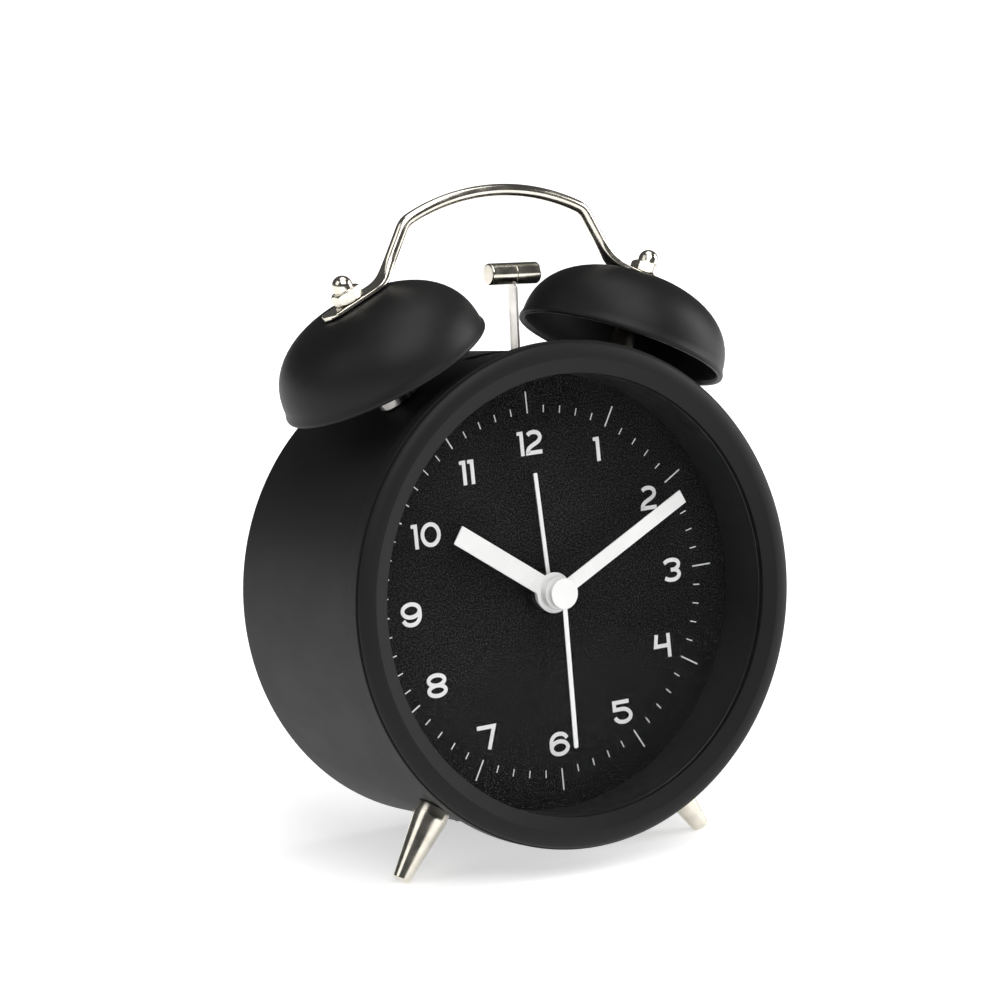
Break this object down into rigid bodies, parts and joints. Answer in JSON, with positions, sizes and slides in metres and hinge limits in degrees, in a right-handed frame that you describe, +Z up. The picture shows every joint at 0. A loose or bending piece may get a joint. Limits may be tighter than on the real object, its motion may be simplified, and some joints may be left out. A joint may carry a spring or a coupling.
{
  "type": "twin bell alarm clock",
  "caption": "Round twin-bell alarm clock with carrying handle, hammer, hands, battery movement, setting knobs and feet.",
  "frame": {"origin": "middle of the bounding box's underside, on the surface that the clock stands on", "axes": "+X to the right as seen from the front, +Y to the rear, +Z up; the case leans back 8 degrees about X"},
  "size_m": [0.1002, 0.0662, 0.1332],
  "materials": {
    "case_black": "matte black",
    "nickel": "polished nickel",
    "steel": "plain steel",
    "brass": "turned brass",
    "copper": "enamelled copper winding",
    "hand_white": "white paint",
    "clear_lens": "clear",
    "clear_lamp": "clear epoxy lamp",
    "dial_black": "matte black print",
    "black_plastic": "moulded",
    "black_rubber": "matte",
    "gear_nylon": "moulded",
    "board_green": "solder mask",
    "cell_wrap": "plain printed sleeve, no text"
  },
  "bodies": {
    "case": {"back_cover": "black_plastic", "battery_cell": "cell_wrap", "battery_tray": "black_plastic", "bell_left": "case_black", "bell_post_left": "steel", "bell_post_right": "steel", "bell_right": "case_black", "bezel_ring": "case_black", "cap_nut_left": "nickel", "cap_nut_right": "nickel", "case_drum": "case_black", "circuit_board": "board_green", "coil": "copper", "contact_plate": "steel", "contact_spring": "steel", "cover_screw_1": "steel", "cover_screw_2": "steel", "cover_screw_3": "steel", "dial_lamp": "clear_lamp", "dial_plate": "dial_black", "foot_left": "nickel", "foot_right": "nickel", "foot_screw_left": "steel", "foot_screw_right": "steel", "glass_lens": "clear_lens", "hammer_pin": "steel", "handle": "nickel", "movement_base": "black_plastic", "movement_cover": "black_plastic", "post_screw_left": "steel", "post_screw_right": "steel", "post_washer_left": "nickel", "post_washer_right": "nickel", "rear_pad": "black_rubber", "spacer_ring": "black_plastic", "stator": "steel", "striker_motor": "steel"},
    "hammer": {"hammer_head": "nickel", "hammer_arm": "nickel", "hammer_lever": "gear_nylon"},
    "minute": {"minute_hand": "hand_white", "cannon_wheel": "brass"},
    "hour": {"hour_hand": "hand_white", "hour_wheel": "gear_nylon"},
    "minute_work": {"minute_wheel": "gear_nylon"},
    "time_setter": {"time_knob": "black_plastic"},
    "alarm_indicator": {"alarm_hand": "hand_white", "alarm_wheel": "gear_nylon"},
    "alarm_setter": {"alarm_knob": "black_plastic"},
    "second": {"second_hand": "hand_white", "second_wheel": "gear_nylon"},
    "intermediate": {"intermediate_wheel": "gear_nylon"},
    "rotor_body": {"rotor": "gear_nylon"},
    "third": {"third_wheel": "gear_nylon"},
    "centre": {"centre_wheel": "gear_nylon"},
    "crank": {"crank_wheel": "gear_nylon"},
    "striker_pinion": {"motor_pinion": "brass"},
    "switch": {"alarm_switch": "nickel"},
    "button": {"light_button": "black_plastic"},
    "door": {"battery_door": "black_plastic"}
  },
  "joints": [
    {"name": "hammer_swing", "type": "hinge", "parent": "case", "child": "hammer", "pos_m": [0.00165, -0.00046, 0.0763], "axis": [0, 0.9903, -0.1392], "range_deg": [-12.5, 4.3]},
    {"name": "minute_spin", "type": "hinge", "parent": "case", "child": "minute", "pos_m": [0, -0.01222, 0.05372], "axis": [0, 0.9903, -0.1392], "continuous": true},
    {"name": "hour_spin", "type": "hinge", "parent": "case", "child": "hour", "pos_m": [0, -0.01222, 0.05372], "axis": [0, 0.9903, -0.1392], "continuous": true},
    {"name": "minute_work_spin", "type": "hinge", "parent": "case", "child": "minute_work", "pos_m": [-0.00498, -0.00568, 0.05783], "axis": [0, 0.9903, -0.1392], "continuous": true},
    {"name": "time_knob_spin", "type": "hinge", "parent": "case", "child": "time_setter", "pos_m": [-0.01109, 0.02996, 0.05638], "axis": [0, 0.9903, -0.1392], "continuous": true},
    {"name": "alarm_hand_spin", "type": "hinge", "parent": "case", "child": "alarm_indicator", "pos_m": [0, -0.01222, 0.05372], "axis": [0, 0.9903, -0.1392], "continuous": true},
    {"name": "alarm_knob_spin", "type": "hinge", "parent": "case", "child": "alarm_setter", "pos_m": [0.00684, 0.02944, 0.0527], "axis": [0, 0.9903, -0.1392], "continuous": true},
    {"name": "second_spin", "type": "hinge", "parent": "case", "child": "second", "pos_m": [0, -0.00044, 0.05206], "axis": [0, 0.9903, -0.1392], "continuous": true},
    {"name": "intermediate_spin", "type": "hinge", "parent": "case", "child": "intermediate", "pos_m": [0.0055, 0.00107, 0.04983], "axis": [0, 0.9903, -0.1392], "continuous": true},
    {"name": "rotor_spin", "type": "hinge", "parent": "case", "child": "rotor_body", "pos_m": [0.01152, 0.00263, 0.04728], "axis": [0, 0.9903, -0.1392], "continuous": true},
    {"name": "third_spin", "type": "hinge", "parent": "case", "child": "third", "pos_m": [-0.00785, -0.00262, 0.04948], "axis": [0, 0.9903, -0.1392], "continuous": true},
    {"name": "centre_spin", "type": "hinge", "parent": "case", "child": "centre", "pos_m": [0, -0.00479, 0.05267], "axis": [0, 0.9903, -0.1392], "continuous": true},
    {"name": "crank_spin", "type": "hinge", "parent": "case", "child": "crank", "pos_m": [0.0018, 0.00192, 0.06738], "axis": [0, 0.9903, -0.1392], "continuous": true},
    {"name": "striker_pinion_spin", "type": "hinge", "parent": "case", "child": "striker_pinion", "pos_m": [0.01121, 0.00203, 0.0682], "axis": [0, 0.9903, -0.1392], "continuous": true},
    {"name": "alarm_switch_slide", "type": "slide", "parent": "case", "child": "switch", "axis": [1, 0, 0], "range_m": [0, 0.005]},
    {"name": "light_button_press", "type": "slide", "parent": "case", "child": "button", "axis": [0, -0.9903, 0.1392], "range_m": [0, 0.0015], "stiffness_N_per_m": 300},
    {"name": "battery_door_hinge", "type": "hinge", "parent": "case", "child": "door", "pos_m": [0, 0.02118, 0.01691], "axis": [-1, 0, 0], "range_deg": [0, 95]}
  ],
  "couplings": [
    {"joint": "hour_spin", "follows": "minute_spin", "ratio": 0.083333},
    {"joint": "minute_work_spin", "follows": "minute_spin", "ratio": -0.33333},
    {"joint": "time_knob_spin", "follows": "minute_spin", "ratio": 1},
    {"joint": "alarm_knob_spin", "follows": "alarm_hand_spin", "ratio": -3},
    {"joint": "intermediate_spin", "follows": "second_spin", "ratio": -5},
    {"joint": "rotor_spin", "follows": "second_spin", "ratio": 30},
    {"joint": "third_spin", "follows": "second_spin", "ratio": -0.13333},
    {"joint": "centre_spin", "follows": "second_spin", "ratio": 0.016667},
    {"joint": "striker_pinion_spin", "follows": "crank_spin", "ratio": -6}
  ]
}
